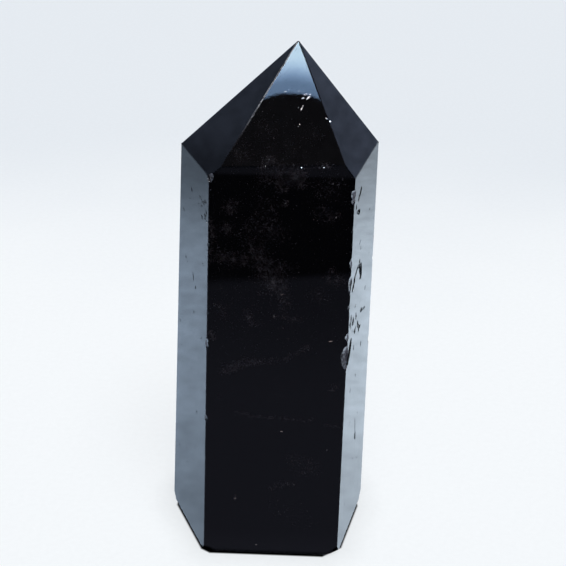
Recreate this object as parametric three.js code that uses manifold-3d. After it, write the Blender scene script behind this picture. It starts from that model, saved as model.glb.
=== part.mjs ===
// A polished morion quartz point: one natural crystal of black quartz, ground to a six-sided
// tower with a six-sided pyramid on top, and sawn flat and polished underneath so that it stands.
//
// Millimetres, +Z up. The base lies on z = 0, the crystal's bounding box is centred on the
// Z axis, and the broad front facet looks along -Y.
//
// The crystal is made as it is on the grinding wheel: a blank is cut back by one flat plane
// for each facet, then the rim and corners are eased and the edge chips are knocked out.

import * as THREE from 'three';
import { mergeVertices } from 'three/addons/utils/BufferGeometryUtils.js';
import Module from 'manifold-3d';

const wasm = await Module();
wasm.setup();

// ---- Driving dimensions: millimetres and degrees -------------------------------------------

const HEIGHT = 95; // base to the point where the six pyramid facets meet
const TIP = new THREE.Vector3(1.4, -0.7, HEIGHT); // that point stands a little off the middle
const TIP_WORN = 0.25; // height worn off the sharp point
const BLANK_WIDTH = 60; // the rough block that the facets are ground from

// The six sides in turn. Headings are compass angles of the outward normal, measured from +X
// towards +Y. A prism facet stands `reach` from the axis at the base and leans back by `lean`.
// The pyramid facet above it passes through TIP, faces `crownHeading` and climbs at `climb`.
const SIDES = {
  front: { heading: -90, reach: 17.0, lean: 1.9, crownHeading: -92.7, climb: 50.0 },
  frontRight: { heading: -15.6, reach: 16.6, lean: 1.3, crownHeading: -14.8, climb: 54.1 },
  backRight: { heading: 28, reach: 16.1, lean: 0.9, crownHeading: 28, climb: 53.0 },
  back: { heading: 90, reach: 14.5, lean: 1.6, crownHeading: 91.5, climb: 52.8 },
  backLeft: { heading: 152, reach: 16.5, lean: 1.35, crownHeading: 152, climb: 48.8 },
  frontLeft: { heading: -156.4, reach: 18.2, lean: 0.9, crownHeading: -155.6, climb: 46.1 },
};

// The rim of the base is eased all round by a narrow bevel.
const RIM_INSET = 0.45; // how far the bevel starts in from each prism facet
const RIM_TILT = 42; // degrees that the bevel's normal dips below the horizon

// The base corners are rubbed round. Each is cut back by planes that share a depth and dip
// below the horizon by these tilts. The front right corner is worn the most.
const CORNER_TILTS = [22, 42, 62];
const CORNER_WEAR = [
  { between: ['front', 'frontRight'], depth: 1.0 },
  { between: ['frontRight', 'backRight'], depth: 0.75 },
  { between: ['backRight', 'back'], depth: 0.8 },
  { between: ['back', 'backLeft'], depth: 0.9 },
  { between: ['backLeft', 'frontLeft'], depth: 0.7 },
  { between: ['frontLeft', 'front'], depth: 0.5 },
];

// Chips along the upright edges: hollow, shell-shaped bites. `height` is the middle of the
// chip, `length` runs along the edge, `bite` is how deep it cuts in from the edge, `hollow` is
// the radius of the shell and `turn` swings the bite round towards the second facet.
const EDGE_CHIPS = [
  { between: ['front', 'frontRight'], height: 43.7, length: 5.4, bite: 0.95, hollow: 2.4, turn: 6 },
  { between: ['front', 'frontRight'], height: 47.4, length: 1.8, bite: 0.35, hollow: 1.4, turn: 12 },
  { between: ['front', 'frontRight'], height: 57.6, length: 3.4, bite: 0.3, hollow: 2.2, turn: 30 },
  { between: ['front', 'frontRight'], height: 61.6, length: 1.9, bite: 0.25, hollow: 1.3, turn: 26 },
  { between: ['front', 'frontRight'], height: 74.0, length: 1.5, bite: 0.4, hollow: 1.1, turn: 14 },
  { between: ['frontRight', 'backRight'], height: 38.4, length: 1.6, bite: 0.3, hollow: 1.2, turn: -10 },
  { between: ['frontLeft', 'front'], height: 76.2, length: 2.1, bite: 0.5, hollow: 1.5, turn: 10 },
];

const SHELL_DETAIL = 2; // subdivision of the shell-shaped cutters

// ---- Directions and planes -----------------------------------------------------------------

const radians = THREE.MathUtils.degToRad;

// Unit vector with a compass heading, raised above the horizon by `rise` degrees.
function direction(heading, rise = 0) {
  return new THREE.Vector3(
    Math.cos(radians(rise)) * Math.cos(radians(heading)),
    Math.cos(radians(rise)) * Math.sin(radians(heading)),
    Math.sin(radians(rise)),
  );
}

// Horizontal distance from the Z axis to a prism facet at some height.
function reachAt(side, height) {
  return side.reach - height * Math.tan(radians(side.lean));
}

// Point at some height on the upright edge shared by two neighbouring prism facets.
function edgePoint(sideA, sideB, height) {
  const a = direction(sideA.heading);
  const b = direction(sideB.heading);
  const reachA = reachAt(sideA, height);
  const reachB = reachAt(sideB, height);
  const cross = a.x * b.y - a.y * b.x;
  return new THREE.Vector3(
    (reachA * b.y - reachB * a.y) / cross,
    (reachB * a.x - reachA * b.x) / cross,
    height,
  );
}

// Heading that looks squarely out of the corner between two neighbouring sides.
function cornerHeading(sideA, sideB) {
  const out = direction(sideA.heading).add(direction(sideB.heading));
  return THREE.MathUtils.radToDeg(Math.atan2(out.y, out.x));
}

// ---- Solids --------------------------------------------------------------------------------

// Turns a closed three.js geometry into a solid that can be cut.
function solidFrom(geometry) {
  const bare = geometry.clone();
  bare.deleteAttribute('normal');
  bare.deleteAttribute('uv');
  const merged = mergeVertices(bare, 1e-5);
  const mesh = new wasm.Mesh({
    numProp: 3,
    vertProperties: new Float32Array(merged.attributes.position.array),
    triVerts: new Uint32Array(merged.index.array),
  });
  return new wasm.Manifold(mesh);
}

// Turns a solid back into a three.js geometry.
function geometryFrom(solid) {
  const mesh = solid.getMesh();
  const geometry = new THREE.BufferGeometry();
  geometry.setAttribute('position', new THREE.BufferAttribute(new Float32Array(mesh.vertProperties), 3));
  geometry.setIndex(new THREE.BufferAttribute(new Uint32Array(mesh.triVerts), 1));
  return geometry;
}

// Grinds away everything beyond the plane through `point` that faces along `normal`.
function grind(solid, normal, point) {
  const size = HEIGHT * 4;
  const wheel = new THREE.BoxGeometry(size, size, size);
  wheel.translate(0, 0, size / 2);
  wheel.applyQuaternion(new THREE.Quaternion().setFromUnitVectors(new THREE.Vector3(0, 0, 1), normal));
  wheel.translate(point.x, point.y, point.z);
  return solid.subtract(solidFrom(wheel));
}

// Knocks a shell-shaped chip out of an upright edge.
function chip(solid, { between, height, length, bite, hollow, turn }) {
  const [sideA, sideB] = between.map((name) => SIDES[name]);
  const here = edgePoint(sideA, sideB, height);
  const along = edgePoint(sideA, sideB, height + 1).sub(here).normalize();
  const out = direction(cornerHeading(sideA, sideB) + turn);
  const standOff = hollow - bite;
  const halfChord = Math.sqrt(hollow ** 2 - standOff ** 2);
  const stretch = length / (2 * halfChord);
  const shell = new THREE.IcosahedronGeometry(hollow, SHELL_DETAIL);
  shell.scale(1, 1, stretch);
  shell.applyQuaternion(new THREE.Quaternion().setFromUnitVectors(new THREE.Vector3(0, 0, 1), along));
  const centre = here.addScaledVector(out, standOff);
  shell.translate(centre.x, centre.y, centre.z);
  return solid.subtract(solidFrom(shell));
}

// ---- The crystal ---------------------------------------------------------------------------

function roughBlock() {
  const block = new THREE.BoxGeometry(BLANK_WIDTH, BLANK_WIDTH, HEIGHT);
  block.translate(0, 0, HEIGHT / 2);
  return solidFrom(block);
}

// Grinds the six sides, the six pyramid facets and the worn tip.
function grindFacets(block) {
  let solid = block;
  for (const side of Object.values(SIDES)) {
    const foot = direction(side.heading).multiplyScalar(side.reach);
    solid = grind(solid, direction(side.heading, side.lean), foot);
    solid = grind(solid, direction(side.crownHeading, 90 - side.climb), TIP);
  }
  const wornTip = new THREE.Vector3(0, 0, HEIGHT - TIP_WORN);
  return grind(solid, new THREE.Vector3(0, 0, 1), wornTip);
}

// Eases the rim of the base and rubs its six corners round.
function easeBase(block) {
  let solid = block;
  for (const side of Object.values(SIDES)) {
    const start = direction(side.heading).multiplyScalar(side.reach - RIM_INSET);
    solid = grind(solid, direction(side.heading, -RIM_TILT), start);
  }
  for (const { between, depth } of CORNER_WEAR) {
    const [sideA, sideB] = between.map((name) => SIDES[name]);
    const heading = cornerHeading(sideA, sideB);
    for (const tilt of CORNER_TILTS) {
      const normal = direction(heading, -tilt);
      const start = edgePoint(sideA, sideB, 0).addScaledVector(normal, -depth);
      solid = grind(solid, normal, start);
    }
  }
  return solid;
}

// Stands the finished crystal on z = 0 with its box centred on the Z axis.
function standUpright(geometry) {
  geometry.computeBoundingBox();
  const middle = geometry.boundingBox.getCenter(new THREE.Vector3());
  geometry.translate(-middle.x, -middle.y, -geometry.boundingBox.min.z);
  return geometry;
}

function buildCrystal() {
  const faceted = easeBase(grindFacets(roughBlock()));
  const chipped = EDGE_CHIPS.reduce((solid, bite) => chip(solid, bite), faceted);
  const crystal = new THREE.Mesh(
    standUpright(geometryFrom(chipped)),
    new THREE.MeshStandardMaterial({ color: 0x0b0b0e, roughness: 0.05, metalness: 0 }),
  );
  crystal.name = 'morion_crystal';
  return crystal;
}

const morionPoint = new THREE.Group();
morionPoint.add(buildCrystal());

export default morionPoint;
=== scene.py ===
"""Looks of a polished morion quartz point: one black crystal tower with flaws sealed in it.

Everything is in metres and +Z up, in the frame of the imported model. Shapes are worked out in
millimetres and turned into metres when a mesh is finished. The crystal's facets are read from
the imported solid, rounded where they meet, rippled as hand polishing leaves them, and chipped.
"""

import logging
import math
import random
from collections.abc import Callable, Iterable, Sequence
from dataclasses import dataclass
from enum import Enum, IntEnum
from functools import reduce
from operator import mul
from typing import Any

import bmesh
import bpy
from mathutils import Matrix, Vector, noise


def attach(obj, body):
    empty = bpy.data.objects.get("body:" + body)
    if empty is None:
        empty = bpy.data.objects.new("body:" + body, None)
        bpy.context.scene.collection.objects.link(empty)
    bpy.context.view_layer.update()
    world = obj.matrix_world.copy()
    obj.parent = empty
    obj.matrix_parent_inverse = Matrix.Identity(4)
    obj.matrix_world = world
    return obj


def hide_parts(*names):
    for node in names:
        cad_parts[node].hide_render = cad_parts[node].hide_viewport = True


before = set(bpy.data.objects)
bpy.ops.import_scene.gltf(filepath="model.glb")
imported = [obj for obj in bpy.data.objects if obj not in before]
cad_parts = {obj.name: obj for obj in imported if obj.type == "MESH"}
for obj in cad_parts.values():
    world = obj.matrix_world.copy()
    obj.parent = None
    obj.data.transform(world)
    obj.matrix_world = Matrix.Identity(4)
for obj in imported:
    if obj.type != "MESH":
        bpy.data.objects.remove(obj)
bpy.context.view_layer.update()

MM = 0.001
CRYSTAL_NODE = "morion_crystal"
BODY = "root"
UP = Vector((0.0, 0.0, 1.0))

Span = tuple[float, float]
Triple = tuple[float, float, float]
Colour = tuple[float, float, float, float]
Inputs = dict[int | str, Any]
Plane = tuple[Sequence[float], float]

log = logging.getLogger("morion")


# ---- Meshes --------------------------------------------------------------------------------


def to_mesh(work: bmesh.types.BMesh, name: str) -> bpy.types.Mesh:
    """Turns a working mesh into a plain one.

    Args:
        work: the working mesh, which is used up.
        name: the plain mesh's name.

    Returns:
        The plain mesh.
    """
    mesh = bpy.data.meshes.new(name)
    work.to_mesh(mesh)
    work.free()
    return mesh


def show(name: str, data: bpy.types.ID) -> bpy.types.Object:
    """Puts a mesh or a camera into the scene.

    Args:
        name: the new object's name.
        data: the mesh or camera.

    Returns:
        The new object.
    """
    thing = bpy.data.objects.new(name, data)
    bpy.context.scene.collection.objects.link(thing)
    return thing


def dress(piece: bpy.types.Object, material: bpy.types.Material) -> bpy.types.Object:
    """Turns a piece from millimetres into metres and gives it its material.

    Args:
        piece: the piece.
        material: what it is made of.

    Returns:
        The piece.
    """
    piece.data.transform(Matrix.Scale(MM, 4))
    piece.data.materials.clear()
    piece.data.materials.append(material)
    return piece


# ---- Node trees ----------------------------------------------------------------------------


def pick_socket(sockets: Sequence[bpy.types.NodeSocket], key: int | str) -> bpy.types.NodeSocket:
    """Finds one socket of a node.

    Args:
        sockets: the node's inputs or outputs.
        key: the socket's place, its identifier or its name.

    Returns:
        The socket.
    """
    if isinstance(key, int):
        return sockets[key]
    for socket in sockets:
        if socket.identifier == key:
            return socket
    return sockets[key]


def math_method(operation: str, swapped: bool = False) -> Callable[["Value", "Term"], "Value"]:
    """Makes a method of Value that writes a Math node.

    Args:
        operation: the node's operation.
        swapped: whether the other term comes first.

    Returns:
        The method.
    """

    def write(self: "Value", other: "Term") -> "Value":
        """The result of the operation on self and other."""
        return self.writer.maths(operation, *((other, self) if swapped else (self, other)))

    return write


class Value:
    """A number that varies over a surface: an output socket that does arithmetic.

    At_least gives the larger of two terms and at_most the smaller. Below gives one where self is
    less than the other term, and zero elsewhere.
    """

    __add__ = __radd__ = math_method("ADD")
    __sub__ = math_method("SUBTRACT")
    __rsub__ = math_method("SUBTRACT", swapped=True)
    __mul__ = __rmul__ = math_method("MULTIPLY")
    __truediv__ = math_method("DIVIDE")
    __pow__ = math_method("POWER")
    at_least = math_method("MAXIMUM")
    at_most = math_method("MINIMUM")
    below = math_method("LESS_THAN")

    def __init__(self, writer: "NodeWriter", socket: bpy.types.NodeSocket) -> None:
        """Wraps a socket.

        Args:
            writer: the writer of the tree that the socket is in.
            socket: the output to wrap.
        """
        self.writer = writer
        self.socket = socket

    def eased(self, start: "Term", end: "Term", low: "Term" = 0.0, high: "Term" = 1.0) -> "Value":
        """Goes smoothly from one value to another as self crosses a range.

        Args:
            start: where the change starts.
            end: where it ends.
            low: the result up to start.
            high: the result from end on.

        Returns:
            The eased value.
        """
        inputs = {"Value": self, "From Min": start, "From Max": end, "To Min": low, "To Max": high}
        return self.writer.value("ShaderNodeMapRange", inputs, interpolation_type="SMOOTHSTEP")


Term = Value | float | int


class NodeWriter:
    """Writes nodes into a shader, world or geometry tree."""

    def __init__(self, tree: bpy.types.NodeTree) -> None:
        """Starts on a tree.

        Args:
            tree: the tree to write into.
        """
        self.tree = tree

    def feed(self, socket: bpy.types.NodeSocket, given: Any) -> None:
        """Sets or links an input.

        Args:
            socket: the input.
            given: a number, a colour, a value or an output.
        """
        source = given.socket if isinstance(given, Value) else given
        if isinstance(source, bpy.types.NodeSocket):
            self.tree.links.new(source, socket)
        else:
            socket.default_value = source

    def node(self, kind: str, inputs: Inputs | None = None, **settings: Any) -> bpy.types.Node:
        """Adds a node.

        Args:
            kind: the node's type.
            inputs: what its inputs are given, by place, identifier or name.
            **settings: its properties.

        Returns:
            The node.
        """
        made = self.tree.nodes.new(kind)
        for name, setting in settings.items():
            setattr(made, name, setting)
        for key, given in (inputs or {}).items():
            self.feed(pick_socket(made.inputs, key), given)
        return made

    def output(
        self, kind: str, inputs: Inputs | None = None, key: int | str = 0, **settings: Any
    ) -> bpy.types.NodeSocket:
        """Adds a node for one of its outputs.

        Args:
            kind: the node's type.
            inputs: what its inputs are given.
            key: which output.
            **settings: its properties.

        Returns:
            The output.
        """
        return pick_socket(self.node(kind, inputs, **settings).outputs, key)

    def value(self, kind: str, inputs: Inputs | None = None, **settings: Any) -> Value:
        """Adds a node as output does, and wraps its output as a value."""
        return Value(self, self.output(kind, inputs, **settings))

    def maths(self, operation: str, *terms: Term) -> Value:
        """A Math node on some terms."""
        return self.value("ShaderNodeMath", dict(enumerate(terms)), operation=operation)

    def split(self, vector: bpy.types.NodeSocket) -> list[Value]:
        """The three components of a vector output."""
        return [Value(self, part) for part in self.node("ShaderNodeSeparateXYZ", {0: vector}).outputs]

    def blend(self, share: Term, first: Any, second: Any) -> bpy.types.NodeSocket:
        """Mixes two colours.

        Args:
            share: how much of the second colour.
            first: a colour or a colour output.
            second: a colour or a colour output.

        Returns:
            The mixed colour's output.
        """
        inputs = {"Factor_Float": share, "A_Color": first, "B_Color": second}
        return self.output("ShaderNodeMix", inputs, "Result_Color", data_type="RGBA")

    def scaled(self, colour: Any, factor: Term) -> bpy.types.NodeSocket:
        """A colour or vector times a value."""
        return self.output("ShaderNodeVectorMath", {0: colour, "Scale": factor}, operation="SCALE")

    def grain(self, place: bpy.types.NodeSocket, scale: float, detail: float) -> Value:
        """Smooth noise from 0 to 1.

        Args:
            place: the coordinates to read it at.
            scale: how many lumps fit in one unit of length.
            detail: how many finer layers are added.

        Returns:
            The noise.
        """
        return self.value("ShaderNodeTexNoise", {"Vector": place, "Scale": scale, "Detail": detail})


@dataclass(frozen=True)
class Spots:
    """Smooth noise drawn together into soft spots.

    Scale is how many lumps fit in a metre along each axis, detail how many finer layers are added,
    and edge the levels of noise between which a spot fades in.
    """

    scale: Triple
    detail: float
    edge: Span


class SurfaceWriter(NodeWriter):
    """Writes the shader of one new material around its Principled node."""

    def __init__(self, name: str) -> None:
        """Makes the material.

        Args:
            name: the material's name.
        """
        self.material = bpy.data.materials.new(name)
        self.material.use_nodes = True
        super().__init__(self.material.node_tree)
        self.shader = self.tree.nodes["Principled BSDF"]

    def set(self, **inputs: Any) -> None:
        """Sets or links the Principled node's inputs; an underscore stands for a space."""
        for key, given in inputs.items():
            self.feed(self.shader.inputs[key.replace("_", " ")], given)

    def place(self) -> bpy.types.NodeSocket:
        """The place on the piece, in metres."""
        return self.output("ShaderNodeTexCoord", key="Object")

    def stretched(self, scale: Triple) -> bpy.types.NodeSocket:
        """The place on the piece with each axis scaled."""
        return self.output("ShaderNodeMapping", {"Vector": self.place(), "Scale": scale})

    def spots(self, spots: Spots) -> Value:
        """Spots over the piece, from 0 outside them to 1 inside."""
        return self.grain(self.stretched(spots.scale), 1.0, spots.detail).eased(*spots.edge)

    def attribute(self, name: str) -> Value:
        """A number stored on the piece's faces."""
        return self.value("ShaderNodeAttribute", key="Fac", attribute_name=name)


def gap_to(place: Sequence[Value], planes: Iterable[Plane]) -> Value:
    """How far a place lies outside a convex outline or solid.

    Args:
        place: the place's components.
        planes: the outward direction and the reach of each side.

    Returns:
        The distance, which is negative inside.
    """
    gaps = []
    for direction, reach in planes:
        steps = [part * share for part, share in zip(place, direction)]
        gaps.append(sum(steps[1:], steps[0]) - reach)
    return reduce(Value.at_least, gaps)


# ---- Finishes ------------------------------------------------------------------------------


@dataclass(frozen=True)
class MorionQuartz:
    """Smoky quartz so dark that it is black, ground and polished to a mirror."""

    refraction: float = 1.544
    clear_tint: Colour = (0.70, 0.68, 0.70, 1.0)
    smoky_tint: Colour = (0.42, 0.40, 0.42, 1.0)
    zoning: Spots = Spots((60.0, 60.0, 22.0), 4.0, (0.38, 0.66))
    absorbed_tint: Colour = (0.42, 0.20, 0.10, 1.0)
    absorption: float = 1400.0
    polish_roughness: float = 0.012
    haze_roughness: float = 0.05
    haze: Spots = Spots((140.0, 140.0, 45.0), 3.0, (0.5, 0.75))
    worn_roughness: float = 0.45
    worn_white: Colour = (0.80, 0.82, 0.85, 1.0)
    worn_share: float = 0.85
    rubbing: Spots = Spots((2600.0, 2600.0, 2600.0), 2.0, (0.15, 0.55))
    fracture_roughness: float = 0.09
    streak_scale: Triple = (1150.0, 1150.0, 210.0)
    streak_depth: float = 3.5e-7
    grain_scale: float = 1500.0
    grain_depth: float = 0.7e-7

    def make(self) -> bpy.types.Material:
        """Builds the material.

        Returns:
            See-through quartz with plain absorption, streaked polish and rougher chips.
        """
        w = SurfaceWriter("morion_quartz")
        broken = w.attribute("fracture")
        rubbed = w.spots(self.rubbing) * w.attribute("edge_wear")
        roughness = (
            self.polish_roughness
            + w.spots(self.haze) * (self.haze_roughness - self.polish_roughness)
            + rubbed * self.worn_roughness
            + broken * self.fracture_roughness
        )
        tint = w.blend(w.spots(self.zoning), self.clear_tint, self.smoky_tint)
        streaks = w.grain(w.stretched(self.streak_scale), 1.0, 2.0) * (1 - broken)
        relief = {"Height": streaks, "Distance": self.streak_depth, "Strength": 1.0}
        polished = w.output("ShaderNodeBump", relief)
        lumps = w.grain(w.place(), self.grain_scale, 1.0)
        relief = {"Height": lumps, "Distance": self.grain_depth, "Strength": 1.0, "Normal": polished}
        w.set(
            Base_Color=w.blend(rubbed, tint, self.worn_white),
            Metallic=rubbed * self.worn_share,
            Roughness=roughness,
            IOR=self.refraction,
            Transmission_Weight=1.0,
            Normal=w.output("ShaderNodeBump", relief),
        )
        absorbing = {"Color": self.absorbed_tint, "Density": self.absorption}
        absorber = w.output("ShaderNodeVolumeAbsorption", absorbing)
        w.feed(w.tree.nodes["Material Output"].inputs["Volume"], absorber)
        return w.material


@dataclass(frozen=True)
class VeilFlake:
    """Tiny healed cracks and fluid drops, seen as pale specks in the dark quartz."""

    pale: Colour = (0.38, 0.45, 0.56, 1.0)
    dull: Colour = (0.11, 0.13, 0.17, 1.0)
    paling: Spots = Spots((900.0, 900.0, 900.0), 1.0, (0.42, 0.74))
    least_roughness: float = 0.55
    roughness_swing: float = 0.3
    roughness_scale: float = 2500.0
    gloss: float = 0.3

    def make(self) -> bpy.types.Material:
        """Builds the material.

        Returns:
            A pale, dull surface that differs a little from speck to speck.
        """
        w = SurfaceWriter("veil_flake")
        uneven = w.grain(w.place(), self.roughness_scale, 1.0)
        w.set(
            Base_Color=w.blend(w.spots(self.paling), self.dull, self.pale),
            Roughness=uneven * self.roughness_swing + self.least_roughness,
            Specular_IOR_Level=self.gloss,
        )
        return w.material


@dataclass(frozen=True)
class MirrorFlake:
    """Flat inner cracks that catch the light as bright sparks."""

    silver: Colour = (0.90, 0.94, 0.97, 1.0)
    bluish: Colour = (0.62, 0.74, 0.86, 1.0)
    bloom: Spots = Spots((2200.0, 2200.0, 2200.0), 2.0, (0.4, 0.6))
    bloom_roughness: float = 0.15
    least_roughness: float = 0.26

    def make(self) -> bpy.types.Material:
        """Builds the material.

        Returns:
            A mirror with a satin bloom and a faint blue cast in places.
        """
        w = SurfaceWriter("mirror_flake")
        bloom = w.spots(self.bloom)
        w.set(
            Base_Color=w.blend(bloom, self.silver, self.bluish),
            Metallic=1.0,
            Roughness=bloom * self.bloom_roughness + self.least_roughness,
        )
        return w.material


@dataclass(frozen=True)
class Paper:
    """The white sheet that the crystal stands on, in metres: most of its brightness is a painted glow
    rather than lamp light, with painted shade towards the back and a painted shadow round the crystal's
    foot.
    """

    # The near and far colours paint the fall-off of the paper's light towards the back as shade.
    near: Colour = (0.910, 0.938, 0.959, 1.0)
    far: Colour = (0.785, 0.826, 0.869, 1.0)
    fade: Span = (0.060, 0.190)
    cloud_scale: float = 14.0
    cloud_sway: float = 0.07
    fibre_scale: float = 900.0
    fibre_share: float = 0.05
    roughness: float = 0.9
    # The glow share is painted light that stands in for the lamps' light on the paper; the contact and
    # shade spans paint the shadow round the crystal's foot.
    painted_glow: float = 0.87
    lit_from_above: float = 0.16
    painted_contact_shadow: Span = (0.00038, 0.00084)
    shade_reach: Span = (-0.003, 0.0075)
    shade_share: float = 0.85

    def make(self, outline: Sequence[Plane]) -> bpy.types.Material:
        """Builds the material.

        Args:
            outline: the outward direction and the reach of each side of the crystal's base.

        Returns:
            Matt paper with a painted glow, painted shade that dims it a little towards the back, and a
            painted shadow where the crystal rests on it.
        """
        w = SurfaceWriter("paper")
        place = w.place()
        across, along, _ = w.split(place)
        cloud = w.grain(place, self.cloud_scale, 2.0) * self.cloud_sway
        # Painted shade: the paper darkens towards the back, where its light falls off.
        back = (along + cloud - self.cloud_sway / 2.0).eased(*self.fade)
        fibre = w.grain(place, self.fibre_scale, 3.0) * self.fibre_share + (1.0 - self.fibre_share / 2.0)
        gap = gap_to((across, along), outline)
        # Painted shadow: a dark line where the crystal rests and a soft shade round it.
        shade = gap.eased(*self.shade_reach, self.shade_share, 1.0) * gap.eased(*self.painted_contact_shadow)
        tone = w.scaled(w.blend(back, self.near, self.far), shade * fibre)
        w.set(
            Base_Color=w.scaled(tone, self.lit_from_above),
            Roughness=self.roughness,
            Specular_IOR_Level=0.0,
            # Painted light: the paper glows with most of its brightness.
            Emission_Color=w.scaled(tone, self.painted_glow),
            Emission_Strength=1.0,
        )
        return w.material


@dataclass(frozen=True)
class Pool:
    """A painted light pool on one side of the crystal, as its polish shows it, in metres, with a painted
    shadow by the crystal.
    """

    colour: Colour
    level: float
    shadow_share: float
    shadow_reach: Span
    rim_share: float
    rim_reach: Span

    def glow(self, reach: Value) -> Value:
        """The pool's strength.

        Args:
            reach: the distance from the crystal's axis.

        Returns:
            The strength, which dips in a painted shadow by the crystal and at the pool's rim.
        """
        shadow = reach.eased(*self.shadow_reach, self.shadow_share, 1.0)
        rim = reach.eased(*self.rim_reach, 1.0, self.rim_share)
        return shadow * rim * self.level


@dataclass(frozen=True)
class PaintedPaperReflection:
    """A painted reflection of the paper, a glowing sheet seen only in the polish: painted light pools round
    the crystal with a dim front.

    Places and reaches are in metres. The painted front starts at the front line and has two darker bands
    further out: one past the skewed front end, and a paler one past the dim line.
    """

    left: Pool = Pool((0.80, 1.02, 1.31, 1.0), 0.93, 0.72, (0.016, 0.060), 0.38, (0.112, 0.172))
    right: Pool = Pool((0.87, 1.02, 1.18, 1.0), 1.26, 0.76, (0.016, 0.050), 0.56, (0.110, 0.175))
    middle: Span = (-0.02, 0.02)
    weaves: tuple[Span, ...] = ((260.0, 1.0), (70.0, 2.0))
    mottle: float = 0.8
    mottle_fade: Span = (0.14, 0.30)
    front_colour: Colour = (0.94, 0.985, 1.38, 1.0)
    front_line: float = -0.0153
    front_line_blur: float = 0.0005
    near_level: float = 0.142
    far_level: float = 0.098
    dimming: Span = (-0.128, -0.070)
    front_end: float = -0.1385
    front_end_skew: float = -0.2
    front_end_blur: float = 0.0065
    dark_level: float = 0.022
    dim_line: float = -0.211
    dim_line_blur: float = 0.006
    dim_level: float = 0.09
    front_glow: float = 1.25
    front_glow_reach: float = 0.009
    # Painted shadows on the sheet: at the crystal's foot, in front of it and round its front corners, and a
    # painted shade over the bay beside it.
    painted_contact_shadow: Span = (0.0001, 0.0006)
    front_contact: Span = (0.0005, 0.0022)
    corner_contact: Span = (0.0014, 0.0024)
    bay: Span = (0.002, 0.014)
    bay_share: float = 0.95

    def make(self, outline: Sequence[Plane], corners: Sequence[Vector]) -> bpy.types.Material:
        """Builds the material.

        Args:
            outline: the outward direction and the reach of each side of the crystal's base.
            corners: the worn corners of the base, in metres, round which a painted shadow darkens the
                sheet.

        Returns:
            A plain glow of painted light and shade whose strength depends on the place on the sheet.
        """
        w = SurfaceWriter("painted_paper_reflection")
        place = w.place()
        x, y, _ = w.split(place)
        gap = gap_to((x, y), outline)
        is_right = x.eased(*self.middle)
        is_front = y.eased(self.front_line - self.front_line_blur, self.front_line, 1.0, 0.0)
        sides = self._sides(w, place, (x * x + y * y) ** 0.5, is_right)
        # Painted shade in the pools near the crystal and a painted contact shadow at its foot.
        sides = sides * gap.eased(*self.bay, self.bay_share, 1.0) * gap.eased(*self.painted_contact_shadow)
        # Painted light close in front of the crystal, then a painted contact shadow at its foot.
        front = self._front(x, y) * gap.eased(0.0, self.front_glow_reach, self.front_glow, 1.0)
        front = front * gap.eased(*self.front_contact)
        glow = sides * (1 - is_front) + front * is_front
        # Painted shadow round each front corner of the base.
        for corner in corners:
            away = ((x - corner.x) ** 2 + (y - corner.y) ** 2) ** 0.5
            glow = glow * away.eased(*self.corner_contact)
        side_colour = w.blend(is_right, self.left.colour, self.right.colour)
        w.set(
            Base_Color=(0.0, 0.0, 0.0, 1.0),
            Specular_IOR_Level=0.0,
            Emission_Color=w.scaled(w.blend(is_front, side_colour, self.front_colour), glow),
            Emission_Strength=1.0,
        )
        return w.material

    def _sides(self, w: NodeWriter, place: bpy.types.NodeSocket, reach: Value, is_right: Value) -> Value:
        """The strength of the painted, mottled light pools left and right.

        Args:
            w: the material's writer.
            place: the place on the sheet.
            reach: its distance from the crystal's axis.
            is_right: zero on the left, one on the right.

        Returns:
            The strength.
        """
        left, right = self.left.glow(reach), self.right.glow(reach)
        weave = sum(w.grain(place, scale, detail) * 0.5 for scale, detail in self.weaves)
        mottle = reach.eased(*self.mottle_fade, self.mottle, 0.0)
        return (left + (right - left) * is_right) * ((weave - 0.5) * mottle + 1.0)

    def _front(self, x: Value, y: Value) -> Value:
        """The strength of the painted dim front and its dark bands.

        Args:
            x: how far right the place is.
            y: how far back it is.

        Returns:
            The strength.
        """
        front = y.eased(*self.dimming, self.far_level, self.near_level)
        end = x * self.front_end_skew + self.front_end
        front = (y - end).eased(0.0, self.front_end_blur, self.dark_level, front)
        return y.eased(self.dim_line - self.dim_line_blur, self.dim_line, self.dim_level, front)


# ---- The ground faces ----------------------------------------------------------------------


class Face(Enum):
    """The ground faces: the compass heading and the rise of each outward normal, in degrees."""

    FRONT = (-90.0, 1.9)
    FRONT_RIGHT = (-15.6, 1.3)
    BACK_RIGHT = (28.0, 0.9)
    BACK = (90.0, 1.6)
    BACK_LEFT = (152.0, 1.35)
    FRONT_LEFT = (-156.4, 0.9)
    CROWN_FRONT = (-92.7, 40.0)
    CROWN_FRONT_RIGHT = (-14.8, 35.9)
    CROWN_BACK_RIGHT = (28.0, 37.0)
    CROWN_BACK = (91.5, 37.2)
    CROWN_BACK_LEFT = (152.0, 41.2)
    CROWN_FRONT_LEFT = (-155.6, 43.9)
    BASE = (0.0, -90.0)

    def direction(self) -> Vector:
        """The face's nominal outward normal.

        Returns:
            The normal.
        """
        heading, rise = (math.radians(angle) for angle in self.value)
        level = math.cos(rise)
        return Vector((level * math.cos(heading), level * math.sin(heading), math.sin(rise)))


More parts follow.
